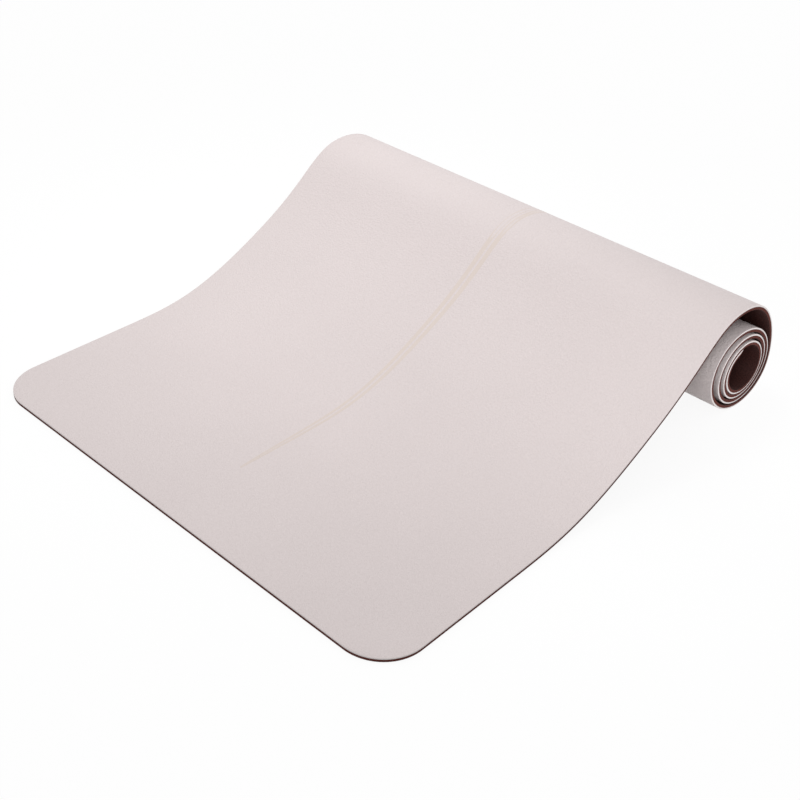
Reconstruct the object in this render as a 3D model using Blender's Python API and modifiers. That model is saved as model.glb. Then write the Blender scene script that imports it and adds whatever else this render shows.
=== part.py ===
"""A yoga mat of two bonded sheets, its front end laid flat and the rest wound into a loose roll.

Metres, Z up, floor at Z = 0. The mat's length runs along X, from the front edge at the low end
to the roll at the high end, and its width along Y. Both layers follow one curve, the line where
they are bonded, which is worked out in the XZ plane: a flat run, a rise up to the crest of the
outer wrap, and an oval coil that winds inward from there to the free end.
"""

import math

import bmesh
import bpy
import numpy as np
from mathutils import Matrix, Vector
from mathutils.geometry import interpolate_bezier

# Flat size of the mat
MAT_LENGTH = 1.850
MAT_WIDTH = 0.600
CORNER_RADIUS = 0.050

# Thickness of the layers, and the clearance that keeps the two solids apart at the bond
BASE_THICK = 0.0030
TOP_THICK = 0.0017
BOND_GAP = 0.0003
SHEET_THICK = BASE_THICK + BOND_GAP + TOP_THICK

# Coil: half axes of the hollow's oval on the bond line, and what each turn outward adds
CORE_HALF_LONG = 0.0374
CORE_HALF_SHORT = 0.0258
CORE_TILT = math.radians(31.0)
TURN_GAP = 0.0005
SHORT_SLACK = 0.0014
LONG_SLACK = 0.00205
DRIFT_AHEAD = 0.0008
DRIFT_UP = 0.0011
SLACK_BACK = 0.0014
SLACK_UP = 0.0004
COIL_TURNS = 3.722
END_TURNS = 0.138

# Outer wrap: its loose crest over the coil, and the rise from the floor to that crest
CREST_CLEAR = 0.0275
CREST_BACK = 0.0402
RISE_RUN = 0.368
STEEP_RUN_SHARE = 0.612
STEEP_HEIGHT_SHARE = 0.419
STEEP_ANGLE = math.radians(28.0)

# Pull of each curve handle, as a share of the run or drop of its own stretch
LIFT_PULL_SHARE = 0.340
STEEP_BEFORE_SHARE = 0.545
STEEP_AFTER_SHARE = 0.672
CREST_BEFORE_SHARE = 0.358
CREST_AFTER_SHARE = 0.740
JOIN_PULL_SHARE = 0.275

# The roll's foot is pressed this deep, and cut flat there
FOOT_DEPTH = 0.0005
CUT_OVERRUN = 0.010

# Spacing of the stations along the sheet
CURVE_SAMPLES = 240
FLAT_STEP = 0.030
BEND_STEP = math.radians(5.0)
CORNER_STEPS = 12
LEAST_STEP = 0.0008

BEIGE = (0.78, 0.69, 0.66, 1.0)
MAROON = (0.13, 0.045, 0.038, 1.0)


def clear_scene():
    """Empty the start-up scene."""
    for obj in list(bpy.data.objects):
        bpy.data.objects.remove(obj, do_unlink=True)
    for collection in list(bpy.data.collections):
        bpy.data.collections.remove(collection)


def new_collection(name):
    """Add a collection to the scene and return it."""
    collection = bpy.data.collections.new(name)
    bpy.context.scene.collection.children.link(collection)
    return collection


def make_material(name, colour, roughness):
    """Return a Principled material of one colour."""
    material = bpy.data.materials.new(name)
    material.use_nodes = True
    shader = material.node_tree.nodes["Principled BSDF"]
    shader.inputs["Base Color"].default_value = colour
    shader.inputs["Roughness"].default_value = roughness
    material.diffuse_color = colour
    return material


def coil_point(turns):
    """Return X and Z on the coil, `turns` outward from the top of the hollow.

    Each turn outward widens the oval by the sheet and its gap, and the drift moves its centre.
    The slack grows with the square of the turns: the outer ones go longer, and lie further back.
    """
    loose = turns * (turns - 1)
    pitch = SHEET_THICK + TURN_GAP
    half_long = CORE_HALF_LONG + pitch * turns + LONG_SLACK * loose
    half_short = CORE_HALF_SHORT + (pitch + SHORT_SLACK) * turns
    angle = -math.tau * turns - CORE_TILT
    along = half_long * math.sin(angle)
    across = half_short * math.cos(angle)
    ahead = DRIFT_AHEAD * turns - SLACK_BACK * loose
    up = DRIFT_UP * turns + SLACK_UP * loose
    x = ahead + math.cos(CORE_TILT) * along + math.sin(CORE_TILT) * across
    z = up - math.sin(CORE_TILT) * along + math.cos(CORE_TILT) * across
    return x, z


def coil_line():
    """Return the coil's points, from the outer wrap inward, standing pressed on the floor."""
    count = int(CURVE_SAMPLES * (COIL_TURNS + END_TURNS))
    turns = np.linspace(COIL_TURNS, -END_TURNS, count)
    points = np.array([coil_point(turn) for turn in turns])
    lowest = BOND_GAP + TOP_THICK - FOOT_DEPTH
    points[:, 1] += lowest - points[:, 1].min()
    return points


def bezier(start, start_handle, end_handle, end):
    """Return the points of one curve segment in the XZ plane, without its last point."""
    ends = [Vector((x, z, 0)) for x, z in (start, start_handle, end_handle, end)]
    curve = interpolate_bezier(*ends, CURVE_SAMPLES)
    return np.array([(point.x, point.y) for point in curve[:-1]])


def rise_line(coil):
    """Return the points from where the sheet lifts off the floor to where the coil starts."""
    crest = np.array((-CREST_BACK, coil[:, 1].max() + SHEET_THICK + CREST_CLEAR))
    lift = np.array((crest[0] - RISE_RUN, BASE_THICK))
    steep = lift + (crest - lift) * (STEEP_RUN_SHARE, STEEP_HEIGHT_SHARE)
    slope = np.array((math.cos(STEEP_ANGLE), math.sin(STEEP_ANGLE)))
    level = np.array((1, 0))
    first_run = steep[0] - lift[0]
    second_run = crest[0] - steep[0]
    join = coil[0]
    entry = (coil[1] - coil[0]) / np.linalg.norm(coil[1] - coil[0])
    over_run, drop = np.abs(join - crest)
    return np.concatenate((
        bezier(lift, lift + level * first_run * LIFT_PULL_SHARE,
               steep - slope * first_run * STEEP_BEFORE_SHARE, steep),
        bezier(steep, steep + slope * second_run * STEEP_AFTER_SHARE,
               crest - level * second_run * CREST_BEFORE_SHARE, crest),
        bezier(crest, crest + level * over_run * CREST_AFTER_SHARE,
               join - entry * drop * JOIN_PULL_SHARE, join),
    ))


def run_along(points):
    """Return the distance of each point from the first, measured along the line."""
    steps = np.linalg.norm(np.diff(points, axis=0), axis=1)
    return np.concatenate(([0], np.cumsum(steps)))


class BondLine:
    """The curve that both layers follow, read by distance from the mat's front edge."""

    def __init__(self):
        coil = coil_line()
        wound = np.concatenate((rise_line(coil), coil))
        self.flat_run = MAT_LENGTH - run_along(wound)[-1]
        front = wound[0] - (self.flat_run, 0)
        self.points = np.concatenate((front[None], wound))
        self.distance = run_along(self.points)
        step_x, step_z = np.diff(self.points, axis=0).T
        self.slopes = np.unwrap(np.arctan2(step_z, step_x))
        self.middles = (self.distance[1:] + self.distance[:-1]) / 2
        self.centre()

    def centre(self):
        """Move the line so that the whole mat is centred over the origin along X."""
        reach = self.offset(self.distance, BOND_GAP + TOP_THICK)[:, 0].max()
        self.points[:, 0] -= (reach + self.points[0, 0]) / 2

    def slope(self, distance):
        """Return the slope of the line in radians, counted on through the turns."""
        return np.interp(distance, self.middles, self.slopes)

    def offset(self, distance, lift):
        """Return X and Z of points `lift` above the bond line, towards the top layer."""
        slope = self.slope(distance)
        x = np.interp(distance, self.distance, self.points[:, 0]) - lift * np.sin(slope)
        z = np.interp(distance, self.distance, self.points[:, 1]) + lift * np.cos(slope)
        return np.stack((x, z), axis=1)

    def stations(self):
        """Return distances that lie closer together where the sheet bends or its corners turn."""
        steps = np.diff(self.distance) / FLAT_STEP + np.abs(
            self.slope(self.distance[1:]) - self.slope(self.distance[:-1])) / BEND_STEP
        total = np.concatenate(([0], np.cumsum(steps)))
        places = np.interp(np.linspace(0, total[-1], math.ceil(total[-1])), total, self.distance)
        quarter = np.linspace(0, math.pi / 2, CORNER_STEPS + 1)
        corner = CORNER_RADIUS * (1 - np.cos(quarter))
        middle = places[(places > CORNER_RADIUS + LEAST_STEP)
                        & (places < MAT_LENGTH - CORNER_RADIUS - LEAST_STEP)]
        lift = np.abs(middle - self.flat_run) > LEAST_STEP
        both = np.concatenate((corner, middle[lift], [self.flat_run], MAT_LENGTH - corner))
        return np.sort(both)


def half_width(distance):
    """Return half the mat's width at a distance from its front edge, with its round corners."""
    from_end = min(distance, MAT_LENGTH - distance)
    inset = max(CORNER_RADIUS - from_end, 0)
    return MAT_WIDTH / 2 - CORNER_RADIUS + math.sqrt(CORNER_RADIUS ** 2 - inset ** 2)


def make_layer(name, line, lift, thick, side, collection, material):
    """Build one layer as a bent grid that Solidify makes into a closed sheet.

    `lift` is the height of the grid over the bond line, and `side` is 1 for a layer that grows
    outward from there and -1 for one that grows inward.
    """
    places = line.stations()
    rows = line.offset(places, lift)
    mesh = bmesh.new()
    bmesh.ops.create_grid(mesh, x_segments=len(places) - 1, y_segments=1, size=1)
    order = sorted(mesh.verts, key=lambda vert: (vert.co.x, vert.co.y))
    for index, vert in enumerate(order):
        row, edge = divmod(index, 2)
        reach = half_width(places[row]) * (2 * edge - 1)
        vert.co = (rows[row, 0], reach, rows[row, 1])
    data = bpy.data.meshes.new(name)
    mesh.to_mesh(data)
    mesh.free()
    layer = bpy.data.objects.new(name, data)
    collection.objects.link(layer)
    data.materials.append(material)
    solidify = layer.modifiers.new("thickness", "SOLIDIFY")
    solidify.thickness = thick
    solidify.offset = side
    solidify.use_even_offset = True
    return layer


def make_floor_cutter(line, collection):
    """Build the block that cuts the roll's foot flat at the floor."""
    places = line.distance[line.distance > line.flat_run]
    outer = line.offset(places, BOND_GAP + TOP_THICK)
    foot = outer[outer[:, 1] < FOOT_DEPTH, 0]
    size = (foot.max() - foot.min() + 2 * CUT_OVERRUN, MAT_WIDTH + 2 * CUT_OVERRUN, CUT_OVERRUN)
    mesh = bmesh.new()
    bmesh.ops.create_cube(mesh, size=1, matrix=Matrix.Diagonal((*size, 1)))
    data = bpy.data.meshes.new("floor_cutter")
    mesh.to_mesh(data)
    mesh.free()
    cutter = bpy.data.objects.new("floor_cutter", data)
    cutter.location = ((foot.max() + foot.min()) / 2, 0, -CUT_OVERRUN / 2)
    cutter.hide_render = True
    cutter.display_type = "WIRE"
    collection.objects.link(cutter)
    return cutter


def cut(target, cutter):
    """Take the cutter's volume away from the target."""
    boolean = target.modifiers.new("foot", "BOOLEAN")
    boolean.operation = "DIFFERENCE"
    boolean.solver = "EXACT"
    boolean.object = cutter


def least_gap(line, first_lift, second_lift):
    """Return the least distance between two offsets of the line where it passes itself."""
    places = np.arange(line.flat_run, MAT_LENGTH, SHEET_THICK / 4)
    first = line.offset(places, first_lift)
    second = line.offset(places, second_lift)
    apart = np.abs(places[:, None] - places[None]) > 2 * CORE_HALF_LONG
    gaps = np.linalg.norm(first[:, None] - second[None], axis=2)
    return gaps[apart].min()


def report_gaps(line):
    """Print how near the wound sheet comes to itself, turn against turn, in millimetres."""
    outer = BOND_GAP + TOP_THICK
    faces = {
        "sheet": (outer, -BASE_THICK),
        "top_layer": (outer, BOND_GAP),
        "base_layer": (0, -BASE_THICK),
    }
    for name, (upper, lower) in faces.items():
        print(f"least gap of {name} to itself: {least_gap(line, upper, lower) * 1000:.2f} mm")
    print(f"flat run {line.flat_run * 1000:.1f} mm, slope at the free end "
          f"{math.degrees(line.slopes[-1]):.0f} degrees")


def main():
    """Build the mat."""
    clear_scene()
    mat = new_collection("yoga_mat")
    cutters = new_collection("cutters")
    cutters.hide_render = True
    line = BondLine()
    make_layer("base_layer", line, 0, BASE_THICK, -1, mat,
               make_material("base_rubber", MAROON, 0.75))
    top = make_layer("top_layer", line, BOND_GAP, TOP_THICK, 1, mat,
                     make_material("top_surface", BEIGE, 0.65))
    cut(top, make_floor_cutter(line, cutters))
    report_gaps(line)


main()
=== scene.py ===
"""Dresses a half-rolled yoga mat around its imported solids.

Metres, Z up, the floor at Z = 0. The two layers and the centre mark are modelled flat, as they
are cut, and Geometry Nodes wrap them on the bond line: one curve in the XZ plane that runs
along the floor, rises to the crest of the outer wrap and winds inward to the free end.
"""

import logging
import math
from dataclasses import dataclass, field
from enum import Enum
from typing import Any

import bpy
import numpy as np
from mathutils import Matrix, Vector
from mathutils.geometry import interpolate_bezier

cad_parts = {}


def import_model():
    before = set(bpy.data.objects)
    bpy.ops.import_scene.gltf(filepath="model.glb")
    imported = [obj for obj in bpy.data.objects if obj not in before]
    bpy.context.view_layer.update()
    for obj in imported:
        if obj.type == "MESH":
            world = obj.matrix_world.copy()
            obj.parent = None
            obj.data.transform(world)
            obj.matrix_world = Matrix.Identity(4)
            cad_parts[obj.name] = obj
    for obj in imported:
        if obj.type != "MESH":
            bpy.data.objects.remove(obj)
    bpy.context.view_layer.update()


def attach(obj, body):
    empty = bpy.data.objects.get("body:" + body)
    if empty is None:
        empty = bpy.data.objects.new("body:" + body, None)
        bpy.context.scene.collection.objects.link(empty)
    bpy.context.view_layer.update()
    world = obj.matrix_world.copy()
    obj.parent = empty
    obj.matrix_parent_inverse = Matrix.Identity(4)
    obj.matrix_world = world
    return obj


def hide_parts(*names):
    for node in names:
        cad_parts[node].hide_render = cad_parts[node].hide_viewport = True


LOG = logging.getLogger("yoga_mat")
FLAT_MAP = "flat"
Colour = tuple[float, float, float, float]
Place = tuple[float, float, float]
WHITE: Colour = (1.0, 1.0, 1.0, 1.0)


def linear(red: int, green: int, blue: int) -> Colour:
    """Turn a screen colour into the linear one that a shader takes.

    Args:
        red: Red from 0 to 255.
        green: Green from 0 to 255.
        blue: Blue from 0 to 255.

    Returns:
        The linear colour with an alpha of 1.
    """
    knee, slope, offset, power = 0.04045, 12.92, 0.055, 2.4
    shares = [value / 255 for value in (red, green, blue)]
    r, g, b = (s / slope if s <= knee else ((s + offset) / (1 + offset)) ** power
               for s in shares)
    return (r, g, b, 1.0)


# Node trees


class Socket(Enum):
    """Kinds of value that pass in or out of a node group."""

    GEOMETRY = "NodeSocketGeometry"
    NUMBER = "NodeSocketFloat"
    COUNT = "NodeSocketInt"
    VECTOR = "NodeSocketVector"
    COLOUR = "NodeSocketColor"
    OBJECT = "NodeSocketObject"
    MATERIAL = "NodeSocketMaterial"

    def named(self, *names: str) -> dict[str, "Socket"]:
        """Return sockets of this kind, by name."""
        return dict.fromkeys(names, self)


class Purpose(Enum):
    """What a node group makes."""

    SHAPE = "GeometryNodeTree"
    FINISH = "ShaderNodeTree"


class Graph:
    """Adds nodes to one tree and links them."""

    # A Mix node has its colour sockets at these places. Other sockets share their names.
    MIX_SHARE, MIX_FIRST, MIX_SECOND, MIX_RESULT = 0, 6, 7, 2

    def __init__(self, tree: bpy.types.NodeTree) -> None:
        """Keep the tree that the nodes go in."""
        self.tree = tree

    def add(self, kind: str, inputs: dict[Any, Any] | None = None,
            **settings: Any) -> bpy.types.Node:
        """Add a node.

        Args:
            kind: The node's type name.
            inputs: Values or sockets for its inputs, by name or number.
            **settings: Values of the node's own properties.

        Returns:
            The new node.
        """
        node = self.tree.nodes.new(kind)
        for name, value in settings.items():
            setattr(node, name, value)
        for key, value in (inputs or {}).items():
            self.feed(node.inputs[key], value)
        return node

    def feed(self, socket: bpy.types.NodeSocket, value: Any) -> None:
        """Link a socket to another one, or set its value.

        Args:
            socket: The input to feed.
            value: The output that feeds it, or its value.
        """
        if isinstance(value, bpy.types.NodeSocket):
            self.tree.links.new(value, socket)
        else:
            socket.default_value = value

    def math(self, operation: str, *values: Any) -> bpy.types.NodeSocket:
        """Return the result of a Math node on up to three values."""
        node = self.add("ShaderNodeMath", dict(enumerate(values)), operation=operation)
        return node.outputs[0]

    def plus(self, first: Any, second: Any) -> bpy.types.NodeSocket:
        """Return the sum of two numbers."""
        return self.math("ADD", first, second)

    def minus(self, first: Any, second: Any) -> bpy.types.NodeSocket:
        """Return the first number less the second."""
        return self.math("SUBTRACT", first, second)

    def times(self, first: Any, second: Any) -> bpy.types.NodeSocket:
        """Return the product of two numbers."""
        return self.math("MULTIPLY", first, second)

    def most(self, first: Any, second: Any) -> bpy.types.NodeSocket:
        """Return the greater of two numbers."""
        return self.math("MAXIMUM", first, second)

    def vector(self, operation: str, *values: Any) -> bpy.types.NodeSocket:
        """Return the vector that a Vector Math node makes."""
        node = self.add("ShaderNodeVectorMath", dict(enumerate(values)), operation=operation)
        return node.outputs["Vector"]

    def scaled(self, vector: Any, by: Any) -> bpy.types.NodeSocket:
        """Return a vector times a number."""
        sockets = {"Vector": vector, "Scale": by}
        return self.add("ShaderNodeVectorMath", sockets, operation="SCALE").outputs["Vector"]

    def ramp(self, value: Any, low: Any, high: Any, start: Any = 0.0, end: Any = 1.0,
             smooth: bool = False) -> bpy.types.NodeSocket:
        """Map a value from one range to another, held at both ends.

        Args:
            value: The value.
            low: Where the first range starts.
            high: Where the first range ends.
            start: What the low end becomes.
            end: What the high end becomes.
            smooth: Whether the change starts and ends softly.

        Returns:
            The mapped value.
        """
        node = self.add("ShaderNodeMapRange",
                        dict(enumerate((value, low, high, start, end))), clamp=True,
                        interpolation_type="SMOOTHSTEP" if smooth else "LINEAR")
        return node.outputs["Result"]

    def joined(self, x: Any = 0.0, y: Any = 0.0, z: Any = 0.0) -> bpy.types.NodeSocket:
        """Return the vector of three numbers."""
        return self.add("ShaderNodeCombineXYZ", {"X": x, "Y": y, "Z": z}).outputs[0]

    def split(self, vector: Any) -> list[bpy.types.NodeSocket]:
        """Return the three numbers of a vector."""
        return list(self.add("ShaderNodeSeparateXYZ", {"Vector": vector}).outputs)

    def blend(self, share: Any, first: Any, second: Any) -> bpy.types.NodeSocket:
        """Return the mix of two colours."""
        sockets = {self.MIX_SHARE: share, self.MIX_FIRST: first, self.MIX_SECOND: second}
        return self.add("ShaderNodeMix", sockets, data_type="RGBA").outputs[self.MIX_RESULT]

    def together(self, *shapes: bpy.types.NodeSocket) -> bpy.types.NodeSocket:
        """Join geometries.

        Args:
            *shapes: The geometries, in their order.

        Returns:
            All of them as one.
        """
        node = self.add("GeometryNodeJoinGeometry")
        for shape in shapes:
            self.tree.links.new(shape, node.inputs[0])
        return node.outputs[0]


class Group(Graph):
    """A new node group, with named inputs and outputs."""

    def __init__(self, name: str, purpose: Purpose, takes: dict[str, Socket],
                 gives: dict[str, Socket]) -> None:
        """Start the group with its input and output nodes.

        Args:
            name: Name of the new tree.
            purpose: What the group makes.
            takes: Names and kinds of its inputs.
            gives: Names and kinds of its outputs.
        """
        super().__init__(bpy.data.node_groups.new(name, purpose.value))
        for in_out, sockets in (("INPUT", takes), ("OUTPUT", gives)):
            for label, socket in sockets.items():
                self.tree.interface.new_socket(label, in_out=in_out, socket_type=socket.value)
        self.entry = self.add("NodeGroupInput")
        self.exit = self.add("NodeGroupOutput")

    def taken(self, name: str) -> bpy.types.NodeSocket:
        """Return one of the group's inputs."""
        return self.entry.outputs[name]

    def give(self, name: str, value: bpy.types.NodeSocket) -> None:
        """Give out a value of the group."""
        self.feed(self.exit.inputs[name], value)


# The mat's sizes and the line that it follows


@dataclass(frozen=True)
class MatSize:
    """The flat mat as it is cut, and the thickness of its layers."""

    length: float = 1.850
    width: float = 0.600
    corner: float = 0.050
    base: float = 0.0030
    bond: float = 0.0003
    top: float = 0.0017

    @property
    def thick(self) -> float:
        """Thickness of the whole sheet."""
        return self.base + self.bond + self.top

    @property
    def face(self) -> float:
        """Height of the outer face over the bond line."""
        return self.bond + self.top


@dataclass(frozen=True)
class Coil:
    """The oval coil: half axes of its hollow, and what each turn outward adds.

    Each turn adds the short slack, and the other slacks grow with the square of the turns. The
    drifts carry the turns' middle along, and the foot is how deep the floor flattens the coil.
    """

    half_long: float = 0.0374
    half_short: float = 0.0258
    tilt: float = math.radians(31.0)
    gap: float = 0.0005
    short_slack: float = 0.0014
    long_slack: float = 0.00205
    drift_ahead: float = 0.0008
    drift_up: float = 0.0011
    slack_back: float = 0.0014
    slack_up: float = 0.0004
    turns: float = 3.722
    end_turns: float = 0.138
    foot: float = 0.0005
    samples: int = 600

    def point(self, turns: float, thick: float) -> tuple[float, float]:
        """Return X and Z on the coil.

        Args:
            turns: Turns outward from the top of the hollow.
            thick: Thickness of the sheet.

        Returns:
            The point, before the coil is set down on the floor.
        """
        loose = turns * (turns - 1)
        pitch = thick + self.gap
        long = self.half_long + pitch * turns + self.long_slack * loose
        short = self.half_short + (pitch + self.short_slack) * turns
        angle = -math.tau * turns - self.tilt
        along, across = long * math.sin(angle), short * math.cos(angle)
        ahead = self.drift_ahead * turns - self.slack_back * loose
        up = self.drift_up * turns + self.slack_up * loose
        return (ahead + math.cos(self.tilt) * along + math.sin(self.tilt) * across,
                up - math.sin(self.tilt) * along + math.cos(self.tilt) * across)

    def line(self, size: MatSize) -> np.ndarray:
        """Work out the coil's points, from the outer wrap inward.

        Args:
            size: Sizes of the flat mat.

        Returns:
            X and Z of the points, with the coil's foot pressed on the floor.
        """
        count = int(self.samples * (self.turns + self.end_turns))
        turns = np.linspace(self.turns, -self.end_turns, count)
        points = np.array([self.point(turn, size.thick) for turn in turns])
        points[:, 1] += size.face - self.foot - points[:, 1].min()
        return points


@dataclass(frozen=True)
class Rise:
    """The sheet's free stretch: up from the floor, over the crest and down to the coil.

    The steepest point lies at shares of the way to the crest. The pull, before and after
    values are the handles of three curve segments, as shares of their spans.
    """

    crest_clear: float = 0.0275
    crest_back: float = 0.0402
    run: float = 0.368
    steep_run: float = 0.612
    steep_height: float = 0.419
    steep_angle: float = math.radians(28.0)
    lift_pull: float = 0.340
    steep_before: float = 0.545
    steep_after: float = 0.672
    crest_before: float = 0.358
    crest_after: float = 0.740
    join_pull: float = 0.275
    samples: int = 600

    def stretch(self, *places: np.ndarray) -> np.ndarray:
        """Work out one curve segment.

        Args:
            *places: X and Z of its start, its two handles and its end.

        Returns:
            The segment's points, without the last one.
        """
        ends = [Vector((place[0], place[1], 0)) for place in places]
        curve = interpolate_bezier(*ends, self.samples)
        return np.array([(point.x, point.y) for point in curve[:-1]])

    def line(self, coil: np.ndarray, size: MatSize) -> np.ndarray:
        """Work out the free stretch.

        Args:
            coil: The coil's points.
            size: Sizes of the flat mat.

        Returns:
            The points from the lift-off to the coil's first point.
        """
        crest = np.array((-self.crest_back, coil[:, 1].max() + size.thick + self.crest_clear))
        lift = np.array((crest[0] - self.run, size.base))
        steep = lift + (crest - lift) * (self.steep_run, self.steep_height)
        slope = np.array((math.cos(self.steep_angle), math.sin(self.steep_angle)))
        level = np.array((1.0, 0.0))
        first, second = steep[0] - lift[0], crest[0] - steep[0]
        join = coil[0]
        entry = (coil[1] - coil[0]) / np.linalg.norm(coil[1] - coil[0])
        over, drop = np.abs(join - crest)
        return np.concatenate((
            self.stretch(lift, lift + level * first * self.lift_pull,
                         steep - slope * first * self.steep_before, steep),
            self.stretch(steep, steep + slope * second * self.steep_after,
                         crest - level * second * self.crest_before, crest),
            self.stretch(crest, crest + level * over * self.crest_after,
                         join - entry * drop * self.join_pull, join),
        ))


class BondLine:
    """The curve that every layer is wrapped on, read by distance from the front edge."""

    def __init__(self, size: MatSize, coil: Coil, rise: Rise) -> None:
        """Work out the line's points in the XZ plane.

        Args:
            size: Sizes of the flat mat.
            coil: The coil's shape.
            rise: The free stretch's shape.
        """
        wound = coil.line(size)
        free = rise.line(wound, size)
        path = np.concatenate((free, wound))
        self.flat_run = size.length - self.run_along(path)[-1]
        flat_steps = int(self.flat_run / size.thick)
        start = path[0] - (self.flat_run, 0)
        floor = np.linspace(start, path[0], flat_steps, endpoint=False)
        self.points = np.concatenate((floor, path))
        distance = self.run_along(self.points)
        self.crest = distance[len(floor) + int(np.argmax(free[:, 1]))]
        self.coil_start = distance[len(floor) + len(free)]
        step_x, step_z = np.diff(self.points, axis=0).T
        slope = np.unwrap(np.arctan2(step_z, step_x))
        outer = self.points[1:, 0] - size.face * np.sin(slope)
        self.points[:, 0] -= (outer.max() + self.points[0, 0]) / 2

    @staticmethod
    def run_along(points: np.ndarray) -> np.ndarray:
        """Return the distance of each point from the first, measured along the line."""
        steps = np.linalg.norm(np.diff(points, axis=0), axis=1)
        return np.concatenate(([0], np.cumsum(steps)))

    def guide(self) -> bpy.types.Object:
        """Make the line a curve, for the node trees to read.

        Returns:
            The curve, already in the scene.
        """
        curve = bpy.data.curves.new("bond_line", "CURVE")
        curve.dimensions = "3D"
        spline = curve.splines.new("POLY")
        spline.points.add(len(self.points) - 1)
        flat = np.zeros((len(self.points), 4), np.float32)
        flat[:, 0], flat[:, 2], flat[:, 3] = self.points[:, 0], self.points[:, 1], 1
        spline.points.foreach_set("co", flat.ravel())
        guide = bpy.data.objects.new("bond_line", curve)
        bpy.context.scene.collection.objects.link(guide)
        return guide


# Geometry Nodes: flat pieces, wrapped on the bond line


class WrapTree:
    """The node group that wraps flat geometry on the bond line.

    In the flat, X is the distance from the front edge, Y the place across and Z the height
    over the bond line. The free stretch gets a slight swell, the coil's turns get a slight
    stagger, and nothing goes through the floor.
    """

    SHAPING = Socket.NUMBER.named("Free Start", "Free End", "Coil Start", "Swell",
                                  "Swell Size", "Stagger", "Stagger Size", "Seed")
    TAKES = Socket.GEOMETRY.named("Geometry", "Line") | SHAPING
    GIVES = Socket.GEOMETRY.named("Geometry")

    @classmethod
    def build(cls) -> bpy.types.NodeTree:
        """Build the group.

        Returns:
            The group's tree.
        """
        g = Group("wrap_on_line", Purpose.SHAPE, cls.TAKES, cls.GIVES)
        along, across, height = g.split(g.add("GeometryNodeInputPosition").outputs[0])
        sample = g.add("GeometryNodeSampleCurve",
                       {"Curves": g.taken("Line"), "Length": along}, mode="LENGTH")
        up = g.vector("CROSS_PRODUCT", sample.outputs["Tangent"], (0.0, 1.0, 0.0))
        swell = cls.wave(g, along, across, "Swell Size", "Swell")
        middle = g.times(g.plus(g.taken("Free Start"), g.taken("Free End")), 0.5)
        grows = g.ramp(along, g.taken("Free Start"), middle, smooth=True)
        fades = g.ramp(along, middle, g.taken("Free End"), 1.0, 0.0, smooth=True)
        swell = g.times(swell, g.times(grows, fades))
        wound = g.ramp(along, g.taken("Free End"), g.taken("Coil Start"), smooth=True)
        stagger = g.times(cls.wave(g, along, 0.0, "Stagger Size", "Stagger"), wound)
        rise = g.scaled(up, g.plus(height, swell))
        aside = g.joined(y=g.plus(across, stagger))
        place = g.vector("ADD", sample.outputs["Position"], g.vector("ADD", rise, aside))
        x, y, z = g.split(place)
        pressed = g.joined(x, y, g.most(z, 0.0))
        moved = g.add("GeometryNodeSetPosition",
                      {"Geometry": g.taken("Geometry"), "Position": pressed})
        g.give("Geometry", moved.outputs[0])
        return g.tree

    @staticmethod
    def wave(g: Group, along: Any, across: Any, size: str, depth: str) -> bpy.types.NodeSocket:
        """Add soft noise about zero.

        Args:
            g: The group.
            along: Distance from the front edge.
            across: Distance from the centre line.
            size: Name of the input with the length of a wave.
            depth: Name of the input with its greatest height.

        Returns:
            The noise.
        """
        place = g.joined(g.math("DIVIDE", along, g.taken(size)),
                         g.math("DIVIDE", across, g.taken(size)), g.taken("Seed"))
        noise = g.add("ShaderNodeTexNoise", {"Vector": place, "Scale": 1.0, "Detail": 0.0})
        centred = g.minus(noise.outputs[0], 0.5)
        return g.times(g.times(centred, 2.0), g.taken(depth))


class PieceTree:
    """What the node trees of the wrapped pieces share."""

    WELD = 1e-5
    TAKES = (Socket.GEOMETRY.named("Geometry") | Socket.OBJECT.named("Line")
             | WrapTree.SHAPING)
    GIVES = WrapTree.GIVES

    @classmethod
    def shell(cls, g: Group, rows: Any,
              columns: Any) -> tuple[bpy.types.NodeSocket, bpy.types.Node]:
        """Make a closed block, one unit in each direction.

        Args:
            g: The graph of the piece.
            rows: Count of points along it.
            columns: Count of points across it.

        Returns:
            The block, and the node that tells its upper face and its sides.
        """
        grid = g.add("GeometryNodeMeshGrid",
                     {"Size X": 1.0, "Size Y": 1.0, "Vertices X": rows,
                      "Vertices Y": columns}).outputs["Mesh"]
        raised = g.add("GeometryNodeExtrudeMesh",
                       {"Mesh": grid, "Offset": g.joined(z=1.0), "Offset Scale": 1.0,
                        "Individual": False}, mode="FACES")
        below = g.add("GeometryNodeFlipFaces", {"Mesh": grid}).outputs[0]
        faces = g.together(raised.outputs["Mesh"], below)
        closed = g.add("GeometryNodeMergeByDistance",
                       {"Geometry": faces, "Distance": cls.WELD})
        return closed.outputs[0], raised

    @staticmethod
    def wrapped(g: Group, wrap: bpy.types.NodeTree,
                flat: bpy.types.NodeSocket) -> bpy.types.NodeSocket:
        """Wrap flat geometry on the line.

        Args:
            g: The graph of the piece.
            wrap: The group that wraps.
            flat: The flat geometry.

        Returns:
            The wrapped geometry.
        """
        line = g.add("GeometryNodeObjectInfo", {"Object": g.taken("Line")})
        shaping = {name: g.taken(name) for name in WrapTree.SHAPING}
        node = g.add("GeometryNodeGroup",
                     {"Geometry": flat, "Line": line.outputs["Geometry"], **shaping},
                     node_tree=wrap)
        return node.outputs[0]

    @staticmethod
    def dress(g: Group, shape: bpy.types.NodeSocket, finishes: dict[str, Any]) -> None:
        """Give out the shape as one mesh, with its finishes on it.

        Args:
            g: The graph of the piece.
            shape: The finished shape.
            finishes: Where each finish goes, by the name of its input.
        """
        node = g.add("GeometryNodeRealizeInstances", {"Geometry": shape})
        for name, where in finishes.items():
            node = g.add("GeometryNodeSetMaterial",
                         {"Geometry": node.outputs[0], "Selection": where,
                          "Material": g.taken(name)})
        g.give("Geometry", node.outputs[0])


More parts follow.
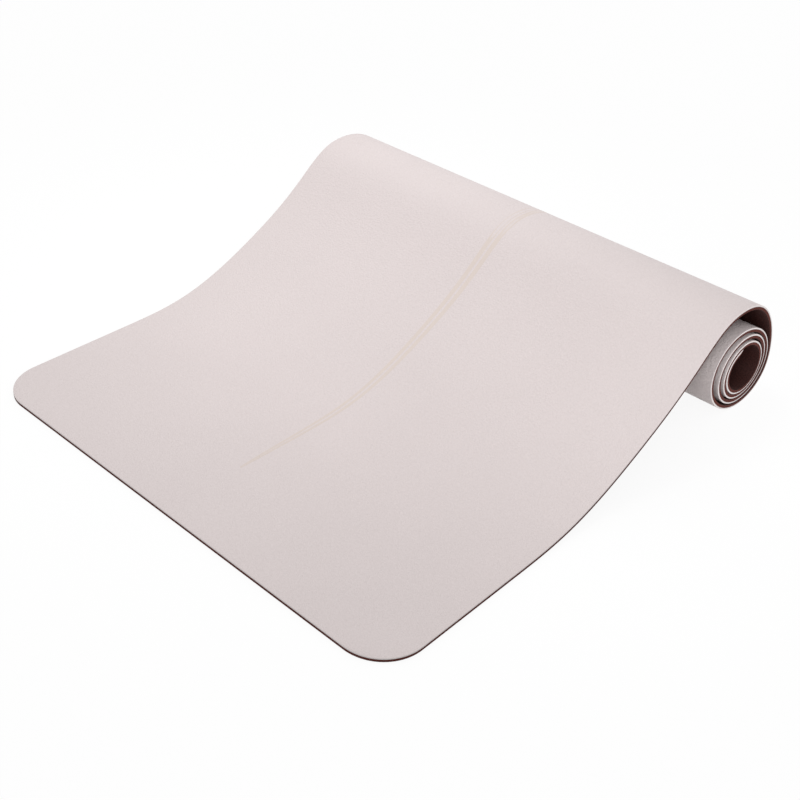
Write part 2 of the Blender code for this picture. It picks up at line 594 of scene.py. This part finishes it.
class SheetTree(PieceTree):
    """The node tree of one layer: a rounded rectangle with rolled rims, on the bond line."""

    TAKES = (PieceTree.TAKES
             | Socket.NUMBER.named("Length", "Width", "Corner", "Lift", "Thickness",
                                   "Upper Rim", "Lower Rim")
             | Socket.COUNT.named("Rows", "Columns", "Corner Rows", "Rim Columns")
             | Socket.MATERIAL.named("Upper Finish", "Lower Finish", "Cut Finish"))
    SHARP = math.radians(50)

    @classmethod
    def build(cls, wrap: bpy.types.NodeTree) -> bpy.types.NodeTree:
        """Build the tree.

        Args:
            wrap: The group that wraps flat geometry on the line.

        Returns:
            The tree of one layer.
        """
        g = Group("wound_sheet", Purpose.SHAPE, cls.TAKES, cls.GIVES)
        closed, raised = cls.shell(g, g.taken("Rows"), g.taken("Columns"))
        x, y, level = g.split(g.add("GeometryNodeInputPosition").outputs[0])
        along = cls.along(g, g.plus(x, 0.5))
        across = cls.across(g, g.times(y, 2.0), along)
        height = cls.height(g, along, across, level)
        mapped = g.add("GeometryNodeStoreNamedAttribute",
                       {"Geometry": closed, "Name": FLAT_MAP,
                        "Value": g.joined(along, across)},
                       data_type="FLOAT2", domain="CORNER").outputs[0]
        flat = g.add("GeometryNodeSetPosition",
                     {"Geometry": mapped, "Position": g.joined(along, across, height)})
        smooth = g.add("GeometryNodeSetShadeSmooth",
                       {"Geometry": cls.wrapped(g, wrap, flat.outputs[0]),
                        "Shade Smooth": True}, domain="FACE")
        angle = g.add("GeometryNodeInputMeshEdgeAngle").outputs["Unsigned Angle"]
        creased = g.add("FunctionNodeCompare", {0: angle, 1: cls.SHARP},
                        data_type="FLOAT", operation="GREATER_THAN").outputs[0]
        edged = g.add("GeometryNodeSetShadeSmooth",
                      {"Geometry": smooth.outputs[0], "Selection": creased,
                       "Shade Smooth": False}, domain="EDGE")
        cls.dress(g, edged.outputs[0], {"Lower Finish": True,
                                        "Upper Finish": raised.outputs["Top"],
                                        "Cut Finish": raised.outputs["Side"]})
        return g.tree

    @staticmethod
    def quarter(g: Group, share: Any, rising: bool) -> bpy.types.NodeSocket:
        """Ease a share along a quarter circle.

        Args:
            g: The graph of the sheet.
            share: A number from 0 to 1.
            rising: Whether it starts slowly, as 1 - cos does, or fast, as sin does.

        Returns:
            The eased share.
        """
        angle = g.times(share, math.pi / 2)
        if rising:
            return g.minus(1.0, g.math("COSINE", angle))
        return g.math("SINE", angle)

    @classmethod
    def along(cls, g: Group, row: Any) -> bpy.types.NodeSocket:
        """Place a row, with rows closer together at the round corners.

        Args:
            g: The graph of the sheet.
            row: Place among the rows, from 0 to 1.

        Returns:
            The distance from the front edge.
        """
        share = g.math("DIVIDE", g.taken("Corner Rows"), g.minus(g.taken("Rows"), 1.0))
        rest = g.minus(1.0, share)
        first = cls.quarter(g, g.ramp(row, 0.0, share), True)
        last = cls.quarter(g, g.ramp(row, rest, 1.0), False)
        straight = g.minus(g.taken("Length"), g.times(g.taken("Corner"), 2.0))
        ends = g.times(g.plus(first, last), g.taken("Corner"))
        return g.math("MULTIPLY_ADD", straight, g.ramp(row, share, rest), ends)

    @classmethod
    def across(cls, g: Group, side: Any, along: Any) -> bpy.types.NodeSocket:
        """Place a column, with columns closer together at the rims.

        Args:
            g: The graph of the sheet.
            side: Place among the columns, from -1 to 1.
            along: Distance from the front edge.

        Returns:
            The distance from the mat's centre line.
        """
        corner = g.taken("Corner")
        to_end = g.math("MINIMUM", along, g.minus(g.taken("Length"), along))
        inset = g.most(g.minus(corner, to_end), 0.0)
        square = g.minus(g.times(corner, corner), g.times(inset, inset))
        bow = g.math("SQRT", g.most(square, 0.0))
        straight = g.minus(g.times(g.taken("Width"), 0.5), corner)
        half = g.plus(straight, bow)
        band = g.most(g.taken("Upper Rim"), g.taken("Lower Rim"))
        away = g.math("ABSOLUTE", side)
        columns = g.minus(g.taken("Columns"), 1.0)
        rim = g.minus(1.0, g.math("DIVIDE", g.times(g.taken("Rim Columns"), 2.0), columns))
        from_edge = g.times(band, cls.quarter(g, g.ramp(away, 1.0, rim), True))
        middle = g.times(g.minus(half, band), g.ramp(away, 0.0, rim))
        reach = g.plus(middle, g.minus(band, from_edge))
        return g.times(g.math("SIGN", side), reach)

    @classmethod
    def height(cls, g: Group, along: Any, across: Any, level: Any) -> bpy.types.NodeSocket:
        """Work out a point's height, with both faces falling away in their rims.

        Args:
            g: The graph of the sheet.
            along: Distance from the front edge.
            across: Distance from the centre line.
            level: 0 on the lower face and 1 on the upper one.

        Returns:
            The height over the bond line.
        """
        corner = g.taken("Corner")
        half_length, half_width = (g.times(g.taken(side), 0.5) for side in ("Length", "Width"))
        out_x = g.minus(g.math("ABSOLUTE", g.minus(along, half_length)),
                        g.minus(half_length, corner))
        out_y = g.minus(g.math("ABSOLUTE", across), g.minus(half_width, corner))
        beyond_x, beyond_y = (g.most(out, 0.0) for out in (out_x, out_y))
        outside = g.math("SQRT", g.plus(g.times(beyond_x, beyond_x),
                                        g.times(beyond_y, beyond_y)))
        inside = g.math("MINIMUM", g.most(out_x, out_y), 0.0)
        depth = g.most(g.minus(g.minus(corner, outside), inside), 0.0)
        upper = g.minus(g.taken("Thickness"), cls.drop(g, depth, "Upper Rim"))
        lower = cls.drop(g, depth, "Lower Rim")
        body = g.math("MULTIPLY_ADD", g.minus(upper, lower), level, lower)
        return g.plus(g.taken("Lift"), body)

    @staticmethod
    def drop(g: Group, depth: Any, rim: str) -> bpy.types.NodeSocket:
        """Work out how far a face falls away in its rim.

        Args:
            g: The graph of the sheet.
            depth: Distance inward from the outline.
            rim: Name of the input with the rim's radius.

        Returns:
            The fall, which is zero further in than the radius.
        """
        radius = g.taken(rim)
        short = g.most(g.minus(radius, depth), 0.0)
        square = g.minus(g.times(radius, radius), g.times(short, short))
        return g.minus(radius, g.math("SQRT", g.most(square, 0.0)))


class MarkTree(PieceTree):
    """The node tree of the centre mark: two thin inlaid lines that open from a shared tip.

    The lines open fastest at the tips, where each has 2 x TIP_HALF of its full width. Neither
    comes nearer to the mat's middle than Least Gap.
    """

    TIP_HALF = 0.11
    TAKES = (PieceTree.TAKES
             | Socket.NUMBER.named("Start", "End", "Opening", "Line Width", "Least Gap",
                                   "Slant", "Lift", "Thickness")
             | Socket.COUNT.named("Rows") | Socket.MATERIAL.named("Finish"))

    @classmethod
    def build(cls, wrap: bpy.types.NodeTree) -> bpy.types.NodeTree:
        """Build the tree.

        Args:
            wrap: The group that wraps flat geometry on the line.

        Returns:
            The tree of the mark.
        """
        g = Group("centre_mark", Purpose.SHAPE, cls.TAKES, cls.GIVES)
        closed, _ = cls.shell(g, g.taken("Rows"), 2)
        x, y, level = g.split(g.add("GeometryNodeInputPosition").outputs[0])
        share = g.plus(x, 0.5)
        swing = g.math("SINE", g.times(share, math.pi))
        opened = g.times(g.taken("Opening"), g.math("SQRT", swing))
        half = g.times(g.taken("Line Width"),
                       g.math("MULTIPLY_ADD", swing, 0.5 - cls.TIP_HALF, cls.TIP_HALF))
        middle = g.times(opened, 0.5)
        inner = g.most(g.minus(middle, half), g.taken("Least Gap"))
        outer = g.plus(middle, half)
        across = g.math("MULTIPLY_ADD", g.minus(outer, inner), g.plus(y, 0.5), inner)
        run = g.minus(g.taken("End"), g.taken("Start"))
        height = g.math("MULTIPLY_ADD", g.taken("Thickness"), level, g.taken("Lift"))
        lines = []
        for side in (1.0, -1.0):
            place = g.times(across, side)
            start = g.math("MULTIPLY_ADD", place, g.taken("Slant"), g.taken("Start"))
            along = g.math("MULTIPLY_ADD", run, share, start)
            line = g.add("GeometryNodeSetPosition",
                         {"Geometry": closed, "Position": g.joined(along, place, height)})
            if side < 0:
                line = g.add("GeometryNodeFlipFaces", {"Mesh": line.outputs[0]})
            lines.append(line.outputs[0])
        cls.dress(g, cls.wrapped(g, wrap, g.together(*lines)), {"Finish": True})
        return g.tree


def grown(name: str, tree: bpy.types.NodeTree, values: dict[str, Any]) -> bpy.types.Object:
    """Run a geometry tree and keep its result as a plain mesh.

    Args:
        name: Name of the piece.
        tree: The Geometry Nodes tree.
        values: Values for the tree's inputs, by name.

    Returns:
        The finished piece, at the origin.
    """
    host = bpy.data.objects.new(name + "_host", bpy.data.meshes.new(name + "_host"))
    bpy.context.scene.collection.objects.link(host)
    modifier = host.modifiers.new("nodes", "NODES")
    modifier.node_group = tree
    for item in tree.interface.items_tree:
        if item.item_type == "SOCKET" and item.in_out == "INPUT" and item.name in values:
            modifier[item.identifier] = values[item.name]
    graph = bpy.context.evaluated_depsgraph_get()
    mesh = bpy.data.meshes.new_from_object(host.evaluated_get(graph))
    mesh.name = name
    if mesh.materials[0] is None:
        mesh.materials.pop(index=0)
    bpy.data.objects.remove(host)
    piece = bpy.data.objects.new(name, mesh)
    bpy.context.scene.collection.objects.link(piece)
    return piece


# Finishes


class GrainGroups:
    """Shader node groups that more than one finish uses."""

    WARP_SCALE = 0.6
    WARP_REACH = 0.9
    WARP_DETAIL = 1.0
    CELL_SOFTNESS = 0.6
    FINE_DETAIL = 3.0
    FINE_ROUGHNESS = 0.6
    CREASE_BAND = (0.25, 0.75)
    DRIFT_DETAIL = 4.0
    DRIFT_ROUGHNESS = 0.55
    DRIFT_BAND = (0.3, 0.7)

    def __init__(self) -> None:
        """Build each group once."""
        self.grain = self.build_grain()
        self.drift = self.build_drift()

    @classmethod
    def build_grain(cls) -> bpy.types.NodeTree:
        """Build the grain: soft cells with finer noise over them.

        Returns:
            The group's tree, which gives out the grain's height and a mask of its creases.
        """
        g = Group("grain", Purpose.FINISH,
                  Socket.VECTOR.named("Vector")
                  | Socket.NUMBER.named("Cell Scale", "Fine Scale", "Fine Share"),
                  Socket.NUMBER.named("Height", "Crease"))
        warp = g.add("ShaderNodeTexNoise", {
            "Vector": g.taken("Vector"), "Detail": cls.WARP_DETAIL,
            "Scale": g.times(g.taken("Cell Scale"), cls.WARP_SCALE)})
        moved = g.vector("ADD", g.scaled(g.taken("Vector"), g.taken("Cell Scale")),
                         g.scaled(warp.outputs["Color"], cls.WARP_REACH))
        cells = g.add("ShaderNodeTexVoronoi", {
            "Vector": moved, "Scale": 1.0, "Smoothness": cls.CELL_SOFTNESS,
            "Randomness": 1.0}, feature="SMOOTH_F1")
        fine = g.add("ShaderNodeTexNoise", {
            "Vector": g.taken("Vector"), "Scale": g.taken("Fine Scale"),
            "Detail": cls.FINE_DETAIL, "Roughness": cls.FINE_ROUGHNESS})
        dome = g.minus(1.0, cells.outputs["Distance"])
        rest = g.minus(1.0, g.taken("Fine Share"))
        height = g.math("MULTIPLY_ADD", dome, rest,
                        g.times(fine.outputs[0], g.taken("Fine Share")))
        g.give("Height", height)
        g.give("Crease", g.ramp(cells.outputs["Distance"], *cls.CREASE_BAND, smooth=True))
        return g.tree

    @classmethod
    def build_drift(cls) -> bpy.types.NodeTree:
        """Build the slow change of tone that a large dyed surface has.

        Returns:
            The group's tree, which gives out the changed colour.
        """
        g = Group("tone_drift", Purpose.FINISH,
                  Socket.VECTOR.named("Vector") | Socket.COLOUR.named("Colour")
                  | Socket.NUMBER.named("Scale", "Amount"), Socket.COLOUR.named("Colour"))
        slow = g.add("ShaderNodeTexNoise", {
            "Vector": g.taken("Vector"), "Scale": g.taken("Scale"),
            "Detail": cls.DRIFT_DETAIL, "Roughness": cls.DRIFT_ROUGHNESS})
        low = g.minus(1.0, g.taken("Amount"))
        high = g.plus(1.0, g.taken("Amount"))
        tone = g.ramp(slow.outputs[0], *cls.DRIFT_BAND, low, high)
        g.give("Colour", g.vector("MULTIPLY", g.taken("Colour"), g.joined(tone, tone, tone)))
        return g.tree


@dataclass(frozen=True)
class Finish:
    """One finish: a colour that drifts, a grain whose creases get painted shade, and its
    gloss.

    Scales count the cells or waves in a metre, and the depth of the grain is in metres.
    """

    name: str
    colour: Colour
    # The crease colour is painted shade, which the crease mask blends into the grain's
    # creases.
    crease: Colour
    crease_shade_share: float
    drift_scale: float
    drift_amount: float
    cell_scale: float
    fine_scale: float
    fine_share: float
    depth: float
    bump: float
    roughness: float
    roughness_swing: float
    specular: float
    follows_sheet: bool

    def make(self, groups: GrainGroups) -> bpy.types.Material:
        """Build the material.

        Args:
            groups: The shared shader groups.

        Returns:
            The material, with its grain in metres on the flat map or on object coordinates.
        """
        material = bpy.data.materials.new(self.name)
        material.use_nodes = True
        material.diffuse_color = self.colour
        g = Graph(material.node_tree)
        shader = g.tree.nodes["Principled BSDF"]
        if self.follows_sheet:
            place = g.add("ShaderNodeUVMap", uv_map=FLAT_MAP).outputs["UV"]
        else:
            place = g.add("ShaderNodeTexCoord").outputs["Object"]
        drift = g.add("ShaderNodeGroup", {
            "Vector": place, "Colour": self.colour, "Scale": self.drift_scale,
            "Amount": self.drift_amount}, node_tree=groups.drift)
        grain = g.add("ShaderNodeGroup", {
            "Vector": place, "Cell Scale": self.cell_scale, "Fine Scale": self.fine_scale,
            "Fine Share": self.fine_share}, node_tree=groups.grain)
        crease = grain.outputs["Crease"]
        # Painted shade: darken the grain's creases towards the crease colour.
        share = g.times(crease, self.crease_shade_share)
        bump = g.add("ShaderNodeBump", {"Strength": self.bump, "Distance": self.depth,
                                        "Height": grain.outputs["Height"]})
        dressing = {
            "Base Color": g.blend(share, drift.outputs["Colour"], self.crease),
            "Roughness": g.math("MULTIPLY_ADD", crease, self.roughness_swing, self.roughness),
            "Normal": bump.outputs["Normal"], "Specular IOR Level": self.specular}
        for name, value in dressing.items():
            g.feed(shader.inputs[name], value)
        return material


# Each finish's crease colour is painted shade for the creases of its grain.
SKIN = Finish(
    name="smooth_skin", colour=linear(227, 216, 215), crease=linear(213, 202, 200),
    crease_shade_share=0.15, drift_scale=7.0, drift_amount=0.012, cell_scale=400.0,
    fine_scale=1150.0, fine_share=0.4, depth=0.0011, bump=0.6, roughness=0.52,
    roughness_swing=0.14, specular=0.38, follows_sheet=True)
FOAM_CUT = Finish(
    name="pale_cut", colour=linear(214, 208, 207), crease=linear(194, 187, 186),
    crease_shade_share=0.3, drift_scale=40.0, drift_amount=0.02, cell_scale=1500.0,
    fine_scale=4200.0, fine_share=0.6, depth=0.00012, bump=0.5, roughness=0.7,
    roughness_swing=0.1, specular=0.3, follows_sheet=False)
RUBBER_FACE = Finish(
    name="rubber_face", colour=linear(64, 31, 27), crease=linear(42, 19, 16),
    crease_shade_share=0.6, drift_scale=12.0, drift_amount=0.06, cell_scale=620.0,
    fine_scale=2200.0, fine_share=0.4, depth=0.0003, bump=0.7, roughness=0.6,
    roughness_swing=0.18, specular=0.3, follows_sheet=True)
RUBBER_CUT = Finish(
    name="rubber_cut", colour=linear(87, 45, 39), crease=linear(62, 30, 25),
    crease_shade_share=0.4, drift_scale=30.0, drift_amount=0.05, cell_scale=1300.0,
    fine_scale=3800.0, fine_share=0.55, depth=0.00014, bump=0.6, roughness=0.75,
    roughness_swing=0.12, specular=0.1, follows_sheet=False)
MARK = Finish(
    name="etched_mark", colour=linear(225, 212, 205), crease=linear(213, 199, 191),
    crease_shade_share=0.3, drift_scale=30.0, drift_amount=0.01, cell_scale=1400.0,
    fine_scale=3600.0, fine_share=0.5, depth=0.00006, bump=0.4, roughness=0.56,
    roughness_swing=0.1, specular=0.34, follows_sheet=False)


# The mat


@dataclass(frozen=True)
class CentreMark:
    """The two lines inlaid along the middle of the upper layer, with slanted ends."""

    start: float = 0.100
    opening: float = 0.0104
    width: float = 0.0078
    gap: float = 0.00015
    slant: float = 1.1
    sunk: float = 0.00005
    proud: float = 0.00005
    rows: int = 800

    def build(self, size: MatSize, wrap: bpy.types.NodeTree, shared: dict[str, Any],
              groups: GrainGroups) -> bpy.types.Object:
        """Build the lines.

        Args:
            size: Sizes of the flat mat.
            wrap: The group that wraps flat geometry on the line.
            shared: Values that every piece of the mat takes.
            groups: The shared shader groups.

        Returns:
            The two lines as one piece.
        """
        return grown("centre_mark", MarkTree.build(wrap), shared | {
            "Start": self.start, "End": size.length - self.start, "Opening": self.opening,
            "Line Width": self.width, "Least Gap": self.gap, "Slant": self.slant,
            "Lift": size.face - self.sunk, "Thickness": self.sunk + self.proud,
            "Rows": self.rows, "Finish": MARK.make(groups)})


@dataclass(frozen=True)
class YogaMat:
    """The mat's two layers and the mark on the upper one."""

    size: MatSize = field(default_factory=MatSize)
    coil: Coil = field(default_factory=Coil)
    rise: Rise = field(default_factory=Rise)
    mark: CentreMark = field(default_factory=CentreMark)
    seam: float = 0.00025
    seam_gap: float = 0.00001
    top_rim: float = 0.00045
    foot_rim: float = 0.0003
    rows: int = 900
    columns: int = 43
    corner_rows: int = 22
    rim_columns: int = 5
    swell: float = 0.0004
    swell_size: float = 0.20
    stagger: float = 0.0005
    stagger_size: float = 0.22
    seed: float = 3.7

    def build(self, groups: GrainGroups) -> list[bpy.types.Object]:
        """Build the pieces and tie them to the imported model.

        Args:
            groups: The shared shader groups.

        Returns:
            The base layer, the top layer and the mark.
        """
        line = BondLine(self.size, self.coil, self.rise)
        guide = line.guide()
        wrap = WrapTree.build()
        sheet = SheetTree.build(wrap)
        shared = self.shared(line, guide)
        base = self.build_base(sheet, shared, groups)
        top = self.build_top(sheet, shared, groups)
        mark = self.mark.build(self.size, wrap, shared, groups)
        bpy.data.objects.remove(guide)
        self.tie(base, top, mark)
        return [base, top, mark]

    def shared(self, line: BondLine, guide: bpy.types.Object) -> dict[str, Any]:
        """Gather the values that every piece of the mat takes.

        Args:
            line: The bond line.
            guide: The same line as a curve.

        Returns:
            Values for the inputs of the node trees, by name.
        """
        return {
            "Line": guide, "Length": self.size.length, "Width": self.size.width,
            "Corner": self.size.corner, "Rows": self.rows, "Columns": self.columns,
            "Corner Rows": self.corner_rows, "Rim Columns": self.rim_columns,
            "Free Start": line.flat_run, "Free End": line.crest, "Coil Start": line.coil_start,
            "Swell": self.swell, "Swell Size": self.swell_size, "Stagger": self.stagger,
            "Stagger Size": self.stagger_size, "Seed": self.seed,
        }

    def build_base(self, tree: bpy.types.NodeTree, shared: dict[str, Any],
                   groups: GrainGroups) -> bpy.types.Object:
        """Build the rubber layer, from its underside to the seam.

        Args:
            tree: The node tree of a layer.
            shared: Values that every piece of the mat takes.
            groups: The shared shader groups.

        Returns:
            The layer.
        """
        face, cut = RUBBER_FACE.make(groups), RUBBER_CUT.make(groups)
        return grown("base_rubber_sheet", tree, shared | {
            "Lift": -self.size.base, "Thickness": self.size.base + self.seam,
            "Upper Rim": 0.0, "Lower Rim": self.foot_rim,
            "Upper Finish": cut, "Lower Finish": face, "Cut Finish": cut})

    def build_top(self, tree: bpy.types.NodeTree, shared: dict[str, Any],
                  groups: GrainGroups) -> bpy.types.Object:
        """Build the pale layer, from the seam to its skin.

        Args:
            tree: The node tree of a layer.
            shared: Values that every piece of the mat takes.
            groups: The shared shader groups.

        Returns:
            The layer.
        """
        skin, cut = SKIN.make(groups), FOAM_CUT.make(groups)
        lift = self.seam + self.seam_gap
        return grown("top_surface_sheet", tree, shared | {
            "Lift": lift, "Thickness": self.size.face - lift,
            "Upper Rim": self.top_rim, "Lower Rim": 0.0,
            "Upper Finish": skin, "Lower Finish": cut, "Cut Finish": cut})

    def tie(self, base: bpy.types.Object, top: bpy.types.Object,
            mark: bpy.types.Object) -> None:
        """Args:
            base: The rubber layer.
            top: The pale layer.
            mark: The lines on the pale layer.
        """
        for piece in (base, top, mark):
            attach(piece, "root")
        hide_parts("base_layer")
        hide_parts("top_layer")


# Stage


@dataclass(frozen=True)
class Softbox:
    """A square area lamp that looks at a point."""

    name: str
    place: Place
    aim: Place
    side: float
    watts: float
    spread: float = math.pi

    def hang(self) -> None:
        """Put the lamp in the scene."""
        data = bpy.data.lights.new(self.name, "AREA")
        data.shape = "SQUARE"
        data.size = self.side
        data.energy = self.watts
        data.spread = self.spread
        lamp = bpy.data.objects.new(self.name, data)
        lamp.location = self.place
        towards = Vector(self.aim) - Vector(self.place)
        lamp.rotation_euler = towards.to_track_quat("-Z", "Y").to_euler()
        bpy.context.scene.collection.objects.link(lamp)


@dataclass(frozen=True)
class Studio:
    """The pale floor, the even surround and the softboxes."""

    floor_half: float = 6.0
    floor_drop: float = 0.0002
    floor_colour: Colour = linear(228, 228, 228)
    floor_clear: float = 0.86
    floor_white: float = 1.05
    surround: float = 0.786
    boxes: tuple[Softbox, ...] = (
        Softbox("overhead", place=(0.15, 0.35, 1.5), aim=(0.1, 0.2, 0.05), side=0.4,
                watts=0.49, spread=math.radians(50.0)),
        Softbox("side_fill", place=(-0.6, -0.6, 0.5), aim=(0.22, -0.28, 0.08), side=0.3,
                watts=0.09, spread=math.radians(40.0)),
        Softbox("end_fill", place=(0.2, -0.73, 0.078), aim=(0.235, -0.3, 0.065), side=0.08,
                watts=0.06, spread=math.radians(50.0)),
    )

    def build(self) -> None:
        """Build the stage."""
        self.lay_floor()
        self.surround_light()
        for box in self.boxes:
            box.hang()
        bpy.context.scene.view_settings.view_transform = "Standard"

    @staticmethod
    def seen_rays(g: Graph) -> bpy.types.NodeSocket:
        """Tell the rays that show the background: camera, glossy and transmission.

        Args:
            g: The graph of the floor's finish or of the surround.

        Returns:
            1 for such a ray and 0 for any other.
        """
        rays = g.add("ShaderNodeLightPath").outputs
        seen = g.most(rays["Is Camera Ray"], rays["Is Glossy Ray"])
        return g.most(seen, rays["Is Transmission Ray"])

    def lay_floor(self) -> None:
        """Lay the floor, which looks almost white and keeps a light shadow."""
        half = self.floor_half
        mesh = bpy.data.meshes.new("studio_floor")
        square = [(-half, -half), (half, -half), (half, half), (-half, half)]
        mesh.from_pydata([(x, y, -self.floor_drop) for x, y in square], [], [(0, 1, 2, 3)])
        floor = bpy.data.objects.new("studio_floor", mesh)
        bpy.context.scene.collection.objects.link(floor)
        material = bpy.data.materials.new("studio_floor")
        material.use_nodes = True
        g = Graph(material.node_tree)
        shader = g.tree.nodes["Principled BSDF"]
        shader.inputs["Base Color"].default_value = self.floor_colour
        shader.inputs["Roughness"].default_value = 1.0
        shader.inputs["Specular IOR Level"].default_value = 0.0
        glow = g.add("ShaderNodeEmission", {"Color": WHITE, "Strength": self.floor_white})
        share = g.times(self.seen_rays(g), self.floor_clear)
        mixed = g.add("ShaderNodeMixShader", {0: share, 1: shader.outputs[0],
                                              2: glow.outputs[0]})
        g.feed(g.tree.nodes["Material Output"].inputs["Surface"], mixed.outputs[0])
        mesh.materials.append(material)

    def surround_light(self) -> None:
        """Make the surround light the mat evenly, and look white behind it."""
        world = bpy.data.worlds.new("studio")
        world.use_nodes = True
        g = Graph(world.node_tree)
        back = g.tree.nodes["Background"]
        back.inputs["Color"].default_value = WHITE
        strength = g.ramp(self.seen_rays(g), 0.0, 1.0, self.surround, 1.0)
        g.feed(back.inputs["Strength"], strength)
        bpy.context.scene.world = world


@dataclass(frozen=True)
class PhotoCamera:
    """The camera at the photograph's angle. Lengths in pixels are of an 800 pixel frame."""

    place: Place = (-0.8720, -0.7610, 0.8060)
    azimuth: float = math.radians(41.70)
    elevation: float = math.radians(-36.26)
    turn: float = math.radians(3.11)
    focal: float = 1221.0
    aside: float = -24.0
    below: float = 16.0
    frame: float = 800.0
    sensor: float = 36.0

    def build(self) -> None:
        """Put the camera in the scene."""
        data = bpy.data.cameras.new("photo_camera")
        data.sensor_width = self.sensor
        data.lens = self.focal / self.frame * self.sensor
        data.shift_x = -self.aside / self.frame
        data.shift_y = self.below / self.frame
        camera = bpy.data.objects.new("photo_camera", data)
        ahead = Vector((math.cos(self.elevation) * math.cos(self.azimuth),
                        math.cos(self.elevation) * math.sin(self.azimuth),
                        math.sin(self.elevation)))
        right = ahead.cross(Vector((0, 0, 1))).normalized()
        up = right.cross(ahead)
        turned = math.cos(self.turn) * right + math.sin(self.turn) * up
        upright = -math.sin(self.turn) * right + math.cos(self.turn) * up
        rotation = Matrix((turned, upright, -ahead)).transposed().to_4x4()
        camera.matrix_world = Matrix.Translation(self.place) @ rotation
        bpy.context.scene.collection.objects.link(camera)
        bpy.context.scene.camera = camera


def main() -> None:
    """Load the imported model, dress it and set the stage."""
    logging.basicConfig(level=logging.INFO, format="%(message)s")
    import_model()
    PhotoCamera().build()
    Studio().build()
    for piece in YogaMat().build(GrainGroups()):
        mesh = piece.data
        mesh.calc_loop_triangles()
        LOG.info("%s: %d triangles, %d finishes", piece.name, len(mesh.loop_triangles),
                 len(mesh.materials))
    bpy.context.view_layer.update()


if __name__ == "__main__":
    main()
